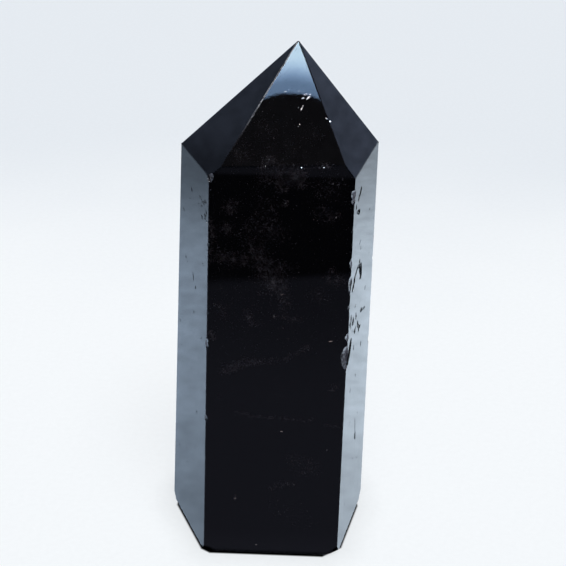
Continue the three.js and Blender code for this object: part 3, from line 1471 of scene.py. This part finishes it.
@dataclass
class VeilField:
    """All the drifts of specks, strewn by Geometry Nodes and joined into one piece.

    Lengths are in millimetres. A speck is a flattened three-sided cone. Its size is the veil's
    speck size times a random factor, from the smallest to the smallest plus the growth, and a high
    growth power makes large specks rare. Clumps are the scale and the detail of the noise that
    gathers the specks, which chance blurs, and none lies nearer to the outside than the margin.
    """

    solid: Solid
    finish: VeilFlake
    name: str = "smoky_veils"
    richness: float = 7.0
    margin: float = 0.2
    clumps: Span = (1.3, 4.0)
    chance: float = 0.09
    speck_sides: int = 3
    speck_radius: float = 0.6
    speck_height: float = 0.8
    speck_flattening: Triple = (1.0, 0.8, 0.45)
    smallest: float = 0.35
    growth: float = 2.2
    growth_power: float = 4.0
    seed: int = 11
    seed_step: int = 7

    def build(self) -> bpy.types.Object:
        """Builds and dresses the veils.

        Returns:
            The finished piece.
        """
        material = self.finish.make()
        faces = dict.fromkeys(veil.face for veil in VEILS)
        trees = {face: self._tree(material, self.solid.facets[face]) for face in faces}
        joined = bmesh.new()
        for index, veil in enumerate(VEILS):
            drift = self._strew(veil, trees[veil.face], self.seed + self.seed_step * index)
            drift.transform(self.solid.facets[veil.face].frame())
            joined.from_mesh(drift)
            bpy.data.meshes.remove(drift)
        return dress(show(self.name, to_mesh(joined, self.name)), material)

    def _strew(self, veil: Veil, tree: bpy.types.NodeTree, seed: int) -> bpy.types.Mesh:
        """Strews one drift.

        Args:
            veil: its path and sizes.
            tree: the Geometry Nodes tree.
            seed: picks the random draws.

        Returns:
            The drift's mesh in its facet's own frame.
        """
        facet = self.solid.facets[veil.face]
        points = [facet.local(across, height, veil.depth) for across, height in veil.path]
        path = bpy.data.meshes.new("veil_path")
        path.from_pydata(points, [(i, i + 1) for i in range(len(points) - 1)], [])
        carrier = show("veil_path", path)
        modifier = carrier.modifiers.new("strew", "NODES")
        modifier.node_group = tree
        given = {
            "Count": round(veil.count * self.richness),
            "Spread": (veil.spread, veil.spread, veil.thickness),
            "Speck": veil.speck,
            "Clump": veil.clump,
            "Seed": seed,
        }
        for item in tree.interface.items_tree:
            if item.name in given:
                modifier[item.identifier] = given[item.name]
        depsgraph = bpy.context.evaluated_depsgraph_get()
        drift = bpy.data.meshes.new_from_object(carrier.evaluated_get(depsgraph))
        bpy.data.objects.remove(carrier)
        bpy.data.meshes.remove(path)
        return drift

    def _tree(self, material: bpy.types.Material, facet: Facet) -> bpy.types.NodeTree:
        """Writes the tree that strews specks along a path under a facet.

        Args:
            material: what the specks are made of.
            facet: the facet, whose own frame the path is in.

        Returns:
            The tree, with its sizes as named inputs.
        """
        tree = bpy.data.node_groups.new("strew_specks", "GeometryNodeTree")
        tree.interface.new_socket("Geometry", in_out="INPUT", socket_type="NodeSocketGeometry")
        kinds = {"Count": "Int", "Spread": "Vector", "Speck": "Float", "Clump": "Float", "Seed": "Int"}
        for name, kind in kinds.items():
            tree.interface.new_socket(name, in_out="INPUT", socket_type=f"NodeSocket{kind}")
        tree.interface.new_socket("Geometry", in_out="OUTPUT", socket_type="NodeSocketGeometry")
        w = NodeWriter(tree)
        given = w.node("NodeGroupInput").outputs
        count, spread, speck, clump, seed = (Value(w, given[name]) for name in kinds)
        line = w.output("GeometryNodeMeshToCurve", {"Mesh": given["Geometry"]})
        points = w.output(
            "GeometryNodeCurveToPoints", {"Curve": line, "Count": count}, "Points", mode="COUNT"
        )
        stray = self._stray(w, spread, seed)
        points = w.output("GeometryNodeSetPosition", {"Geometry": points, "Offset": stray})
        position = w.output("GeometryNodeInputPosition")
        density = w.grain(position, *self.clumps) + self._random(w, -self.chance, self.chance, seed + 5)
        gap = gap_to(w.split(position), self._planes(facet))
        unwanted = density.below(clump).at_least((gap * -1.0).below(self.margin))
        points = w.output(
            "GeometryNodeDeleteGeometry", {"Geometry": points, "Selection": unwanted}, domain="POINT"
        )
        turn = self._random(w, (0.0, 0.0, 0.0), (math.tau, math.tau, math.tau), seed + 3)
        drawn = self._random(w, 0.0, 1.0, seed + 4) ** self.growth_power
        size = (drawn * self.growth + self.smallest) * speck
        specks = w.output(
            "GeometryNodeInstanceOnPoints",
            {"Points": points, "Instance": self._speck(w), "Rotation": turn, "Scale": size},
        )
        real = w.output("GeometryNodeRealizeInstances", {"Geometry": specks})
        dressed = w.output("GeometryNodeSetMaterial", {"Geometry": real, "Material": material})
        w.node("NodeGroupOutput", {"Geometry": dressed})
        return tree

    def _speck(self, w: NodeWriter) -> bpy.types.NodeSocket:
        """Writes one speck, before it is turned and sized.

        Args:
            w: the tree's writer.

        Returns:
            The speck's output.
        """
        sizes = {
            "Vertices": self.speck_sides,
            "Radius Top": 0.0,
            "Radius Bottom": self.speck_radius,
            "Depth": self.speck_height,
        }
        cone = w.output("GeometryNodeMeshCone", sizes, "Mesh")
        return w.output("GeometryNodeTransform", {"Geometry": cone, "Scale": self.speck_flattening})

    def _planes(self, facet: Facet) -> list[Plane]:
        """Finds the planes of all the facets in one facet's own frame.

        Args:
            facet: the facet.

        Returns:
            The outward direction and the reach of each plane.
        """
        back = facet.frame().inverted()
        planes = []
        for other in self.solid.facets.values():
            normal = back.to_3x3() @ other.normal
            planes.append((normal, normal.dot(back @ other.foot)))
        return planes

    def _stray(self, w: NodeWriter, spread: Value, seed: Value) -> bpy.types.NodeSocket:
        """Writes a random offset that is mostly small: the sum of two even draws.

        Args:
            w: the tree's writer.
            spread: what each component is multiplied by.
            seed: picks the draws.

        Returns:
            The offset's output.
        """
        draws = [self._random(w, (-1.0, -1.0, -1.0), (1.0, 1.0, 1.0), seed + step) for step in (1, 2)]
        total = w.output("ShaderNodeVectorMath", dict(enumerate(draws)), operation="ADD")
        return w.output("ShaderNodeVectorMath", {0: total, 1: spread}, operation="MULTIPLY")

    @staticmethod
    def _random(w: NodeWriter, low: float | Triple, high: float | Triple, seed: Value) -> Value:
        """One random draw for each point.

        Args:
            w: the tree's writer.
            low: the least number, or the least of each component.
            high: the greatest.
            seed: picks the draws.

        Returns:
            The drawn number or vector.
        """
        kind, suffix = ("FLOAT", "_001") if isinstance(low, float) else ("FLOAT_VECTOR", "")
        inputs = {"Min" + suffix: low, "Max" + suffix: high, "Seed": seed}
        return w.value("FunctionNodeRandomValue", inputs, key="Value" + suffix, data_type=kind)


@dataclass(frozen=True)
class Spark(Stroke):
    """One flat crack that catches the light, in millimetres; lean is in degrees."""

    lean: float
    depth: float = 0.14


SPARKS = (
    # The bright cluster under the front pyramid facet's reflection.
    Spark(CF, (4.25, 87.35), (4.62, 87.80), 0.34, 5.0),
    Spark(CF, (4.50, 87.55), (4.70, 87.70), 0.30, 9.0),
    Spark(CF, (3.35, 87.42), (3.95, 87.48), 0.16, 6.0),
    Spark(CF, (3.55, 87.50), (3.70, 87.60), 0.20, 3.0),
    Spark(CF, (3.80, 87.98), (3.98, 87.86), 0.14, 6.0),
    Spark(CF, (4.10, 88.14), (4.20, 87.96), 0.12, 4.0),
    Spark(CF, (4.55, 88.02), (4.90, 88.02), 0.07, 5.0),
    Spark(CF, (3.36, 85.90), (3.60, 86.24), 0.13, 6.0),
    Spark(CF, (3.66, 86.38), (3.72, 86.52), 0.08, 4.0),
    Spark(CF, (2.92, 86.12), (3.04, 86.30), 0.07, 2.0),
    Spark(CF, (0.40, 88.14), (0.85, 88.26), 0.09, 3.0),
    Spark(CF, (1.10, 88.42), (1.32, 88.50), 0.08, 3.0),
    Spark(CF, (2.70, 88.30), (2.92, 88.40), 0.09, 3.0),
    Spark(CF, (7.35, 85.18), (7.95, 84.84), 0.07, 5.0),
    Spark(CF, (8.15, 84.74), (8.32, 84.60), 0.20, 5.0),
    Spark(CF, (3.34, 84.12), (3.37, 84.10), 0.11, 5.0),
    Spark(CF, (3.10, 83.75), (3.12, 83.85), 0.10, 2.0),
    Spark(CF, (-1.70, 78.45), (-1.68, 78.58), 0.20, 4.0),
    Spark(CF, (-1.25, 79.30), (-1.10, 79.42), 0.12, 3.0),
    Spark(CF, (4.10, 78.55), (4.12, 78.66), 0.16, 4.0),
    Spark(CF, (7.62, 78.72), (7.80, 78.78), 0.12, 3.0),
    # Dim glints under the front facet.
    Spark(F, (9.55, 46.38), (10.20, 46.44), 0.26, 0.0, 0.45),
    Spark(F, (8.68, 75.70), (8.74, 75.95), 0.12, 0.0, 0.3),
    Spark(F, (1.80, 27.58), (2.25, 27.62), 0.14, 0.0, 0.3),
    Spark(F, (4.66, 16.05), (4.74, 16.12), 0.16, 0.0, 0.3),
    Spark(F, (-5.96, 12.35), (-5.90, 12.70), 0.12, 0.0, 0.3),
    Spark(F, (10.28, 23.84), (10.34, 23.98), 0.18, 0.0, 0.35),
    Spark(F, (-0.20, 51.10), (0.05, 50.90), 0.12, 0.0, 0.3),
    Spark(F, (1.14, 55.05), (1.24, 55.35), 0.10, 0.0, 0.3),
    Spark(F, (-1.95, 2.08), (-1.65, 2.12), 0.14, 0.0, 0.3),
    Spark(F, (9.46, 69.80), (9.54, 69.92), 0.20, 0.0, 0.3),
    Spark(F, (1.10, 71.96), (1.20, 72.04), 0.16, 0.0, 0.3),
)


@dataclass
class SparkField:
    """The bright inner cracks: thin jagged plates joined into one piece."""

    solid: Solid
    finish: MirrorFlake
    name: str = "inner_sparks"
    corners: int = 9
    thickness: float = 0.03
    jaggedness: float = 0.55
    seed: int = 5

    def build(self) -> bpy.types.Object:
        """Builds and dresses the sparks.

        Returns:
            The finished piece.
        """
        draw = random.Random(self.seed)
        joined = bmesh.new()
        for spark in SPARKS:
            self._add_plate(joined, spark, draw)
        bmesh.ops.recalc_face_normals(joined, faces=joined.faces[:])
        return dress(show(self.name, to_mesh(joined, self.name)), self.finish.make())

    def _add_plate(self, joined: bmesh.types.BMesh, spark: Spark, draw: random.Random) -> None:
        """Adds one jagged plate.

        Args:
            joined: the mesh to add it to.
            spark: its place and size.
            draw: where its random outline comes from.
        """
        plate = spark.frame(self.solid, spark.depth, spark.lean)
        length = spark.length(self.solid)
        rims = ([], [])
        for index in range(self.corners):
            angle = math.tau * index / self.corners
            reach = 0.5 * (1.0 - self.jaggedness * draw.random())
            across, along = reach * spark.width * math.cos(angle), reach * length * math.sin(angle)
            for rim, side in zip(rims, (0.5, -0.5)):
                point = plate @ Vector((across, along, side * self.thickness))
                rim.append(joined.verts.new(point))
        top, bottom = rims
        joined.faces.new(top)
        joined.faces.new(bottom[::-1])
        for index in range(self.corners):
            after = (index + 1) % self.corners
            joined.faces.new((top[after], top[index], bottom[index], bottom[after]))


# ---- Studio --------------------------------------------------------------------------------


@dataclass(frozen=True)
class SoftLight:
    """The large soft light overhead in front, as a patch of sky.

    Places on it are slopes, which say how far a direction leans right or back for each unit that it
    climbs. The near edge bows towards its middle and is dimmer and bluer than the rest.
    """

    colour: Colour = (1.00, 1.00, 1.00, 1.0)
    front_colour: Colour = (0.77, 1.04, 1.27, 1.0)
    front_fade: Span = (0.06, 0.09)
    rim_colour: Colour = (0.64, 1.03, 1.68, 1.0)
    level: float = 14.0
    rim_level: float = 3.5
    swell: Span = (0.010, 0.040)
    edge: float = -0.6148
    edge_blur: float = 0.004
    edge_bow: float = 7.0
    edge_middle: float = -0.073
    edge_sag: float = 0.006
    sides: Span = (-0.115, 0.36)
    side_blur: float = 0.05
    far_edge: float = -0.20
    far_blur: float = 0.08
    lowest: Span = (0.1, 0.2)
    least_climb: float = 0.04

    def glow(self, w: NodeWriter, sky: Sequence[Value]) -> bpy.types.NodeSocket:
        """The light's glow in each direction.

        Args:
            w: the world's writer.
            sky: the direction's components.

        Returns:
            The glow's colour, which is black off the light.
        """
        x, y, z = sky
        above = z.at_least(self.least_climb)
        side, front = x / above, y / above
        bow = ((side - self.edge_middle) ** 2).at_most(self.edge_sag) * self.edge_bow
        into = front + bow - self.edge
        left, right = self.sides
        inside = (
            into.eased(0.0, self.edge_blur)
            * side.eased(left - self.side_blur, left)
            * side.eased(right, right + self.side_blur, 1.0, 0.0)
            * front.eased(self.far_edge, self.far_edge + self.far_blur, 1.0, 0.0)
            * z.eased(*self.lowest)
        )
        swell = into.eased(*self.swell)
        level = swell * (self.level - self.rim_level) + self.rim_level
        tint = w.blend(into.eased(*self.front_fade), self.front_colour, self.colour)
        return w.scaled(w.blend(swell, self.rim_colour, tint), level * inside)


@dataclass(frozen=True)
class DimRoom:
    """The dim room round the light: bluer and brighter low down, and nearly dark in front.

    The sides are brighter or darker in steps from left to right. Each step says where it starts
    and ends, and the shares of the glow before and after it.
    """

    low_colour: Colour = (0.82, 1.00, 1.45, 1.0)
    high_colour: Colour = (1.0, 0.98, 1.18, 1.0)
    colour_climb: Span = (0.4, 0.75)
    low_level: float = 0.27
    high_level: float = 0.062
    level_climb: Span = (0.05, 0.85)
    front_share: float = 0.09
    front_depth: Span = (-0.35, -0.05)
    front_climb: Span = (0.5, 0.75)
    side_steps: tuple[tuple[float, ...], ...] = (
        (0.61, 0.635, 1.10, 0.80),
        (-0.715, -0.670, 0.93, 1.13),
        (-0.742, -0.720, 0.52, 1.0),
    )
    mottle: float = 0.9
    mottle_scale: float = 130.0

    def glow(self, w: NodeWriter, direction: bpy.types.NodeSocket) -> bpy.types.NodeSocket:
        """The room's glow in each direction.

        Args:
            w: the world's writer.
            direction: the direction.

        Returns:
            The glow's colour.
        """
        x, y, z = w.split(direction)
        in_front = y.eased(*self.front_depth, 1.0, 0.0) * z.eased(*self.front_climb, 1.0, 0.0)
        dimmed = 1 - in_front * (1 - self.front_share)
        sides = reduce(mul, (x.eased(*step) for step in self.side_steps))
        haze = w.grain(direction, self.mottle_scale, 3.0) * self.mottle + (1.0 - 0.5 * self.mottle)
        level = z.eased(*self.level_climb, self.low_level, self.high_level) * dimmed * sides * haze
        return w.scaled(w.blend(z.eased(*self.colour_climb), self.low_colour, self.high_colour), level)


@dataclass(frozen=True)
class View:
    """The camera in front of the crystal, in millimetres and degrees."""

    place: Triple = (0.12, -210.73, 169.39)
    yaw: float = 0.33
    pitch: float = 29.61
    roll: float = 2.302
    lens: float = 85.946
    sensor: float = 36.0
    nearest: float = 10.0

    def build(self) -> None:
        """Makes the camera, which looks down at the crystal."""
        yaw, pitch, roll = map(math.radians, (self.yaw, self.pitch, self.roll))
        level = math.cos(pitch)
        ahead = Vector((math.sin(yaw) * level, math.cos(yaw) * level, -math.sin(pitch)))
        right = Vector((math.cos(yaw), -math.sin(yaw), 0.0))
        up = right.cross(ahead)
        right, up = (
            right * math.cos(roll) + up * math.sin(roll),
            up * math.cos(roll) - right * math.sin(roll),
        )
        lens = bpy.data.cameras.new("studio_camera")
        lens.sensor_width = self.sensor
        lens.lens = self.lens
        lens.clip_start = self.nearest * MM
        camera = show("studio_camera", lens)
        turn = Matrix((right, up, -ahead)).transposed().to_4x4()
        camera.matrix_world = Matrix.Translation(Vector(self.place) * MM) @ turn
        bpy.context.scene.camera = camera


@dataclass
class Studio:
    """White paper under the crystal, the light and the room round it, and the camera, in metres."""

    solid: Solid
    light: SoftLight = SoftLight()
    room: DimRoom = DimRoom()
    view: View = View()
    paper_half: float = 4.0
    paper_gap: float = 2e-5
    backdrop: Colour = (0.80, 0.83, 0.86, 1.0)
    front_edges: tuple[tuple[Face, Face], ...] = (
        (Face.FRONT_LEFT, Face.FRONT),
        (Face.FRONT, Face.FRONT_RIGHT),
    )

    def build(self) -> None:
        """Sets up the paper, a glowing sheet that paints the paper's reflection, the light and the camera.
        """
        outline = self.solid.outline()
        self._sheet("paper_floor", 0.0, Paper().make(outline))
        corners = [self.solid.edge_point(*faces, 0.0) * MM for faces in self.front_edges]
        in_polish = PaintedPaperReflection().make(outline, corners)
        reflection_sheet = self._sheet("painted_reflection_sheet", self.paper_gap, in_polish)
        # The sheet shows only in reflections: it paints the paper's reflection in the polish, with its
        # light pools and painted shadows.
        for ray in ("camera", "diffuse", "shadow", "transmission", "volume_scatter"):
            setattr(reflection_sheet, f"visible_{ray}", False)
        self._light_up()
        self.view.build()
        bpy.context.scene.view_settings.view_transform = "Standard"

    def _sheet(self, name: str, height: float, material: bpy.types.Material) -> bpy.types.Object:
        """Lays a level square sheet.

        Args:
            name: the sheet's name.
            height: how high it lies, in metres.
            material: its finish.

        Returns:
            The sheet.
        """
        half = self.paper_half
        corners = [(half * x, half * y, height) for x, y in ((-1, -1), (1, -1), (1, 1), (-1, 1))]
        mesh = bpy.data.meshes.new(name)
        mesh.from_pydata(corners, [], [(0, 1, 2, 3)])
        mesh.materials.append(material)
        sheet = show(name, mesh)
        return sheet

    def _light_up(self) -> None:
        """Writes the world: the light and the room, and a pale backdrop behind the paper."""
        world = bpy.data.worlds.new("studio")
        bpy.context.scene.world = world
        world.use_nodes = True
        world.node_tree.nodes.clear()
        w = NodeWriter(world.node_tree)
        direction = w.output("ShaderNodeTexCoord", key="Generated")
        glows = (self.light.glow(w, w.split(direction)), self.room.glow(w, direction))
        total = w.output("ShaderNodeVectorMath", dict(enumerate(glows)), operation="ADD")
        lit = w.output("ShaderNodeBackground", {"Color": total})
        seen = w.output("ShaderNodeBackground", {"Color": self.backdrop})
        is_seen = w.output("ShaderNodeLightPath", key="Is Camera Ray")
        both = w.output("ShaderNodeMixShader", {0: is_seen, 1: lit, 2: seen})
        w.node("ShaderNodeOutputWorld", {"Surface": both})


# ---- Assembly ------------------------------------------------------------------------------


def place_on_frame(pieces: Iterable[bpy.types.Object]) -> None:
    """Makes each piece ride on the crystal's body and reports it.

    Args:
        pieces: the finished pieces.
    """
    for piece in pieces:
        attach(piece, BODY)
        triangles = sum(len(polygon.vertices) - 2 for polygon in piece.data.polygons)
        log.info("%s: %d triangles", piece.name, triangles)


def main() -> None:
    """Builds the studio, the crystal and the flaws in it."""
    logging.basicConfig(level=logging.INFO, format="%(name)s: %(message)s")
    solid = Solid(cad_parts[CRYSTAL_NODE])
    log.info("read %d facets from the packed solid", len(solid.facets))
    Studio(solid).build()
    crystal = Crystal(solid, MorionQuartz()).build()
    veils = VeilField(solid, VeilFlake()).build()
    sparks = SparkField(solid, MirrorFlake()).build()
    place_on_frame((crystal, veils, sparks))
    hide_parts(CRYSTAL_NODE)


if __name__ == "__main__":
    main()
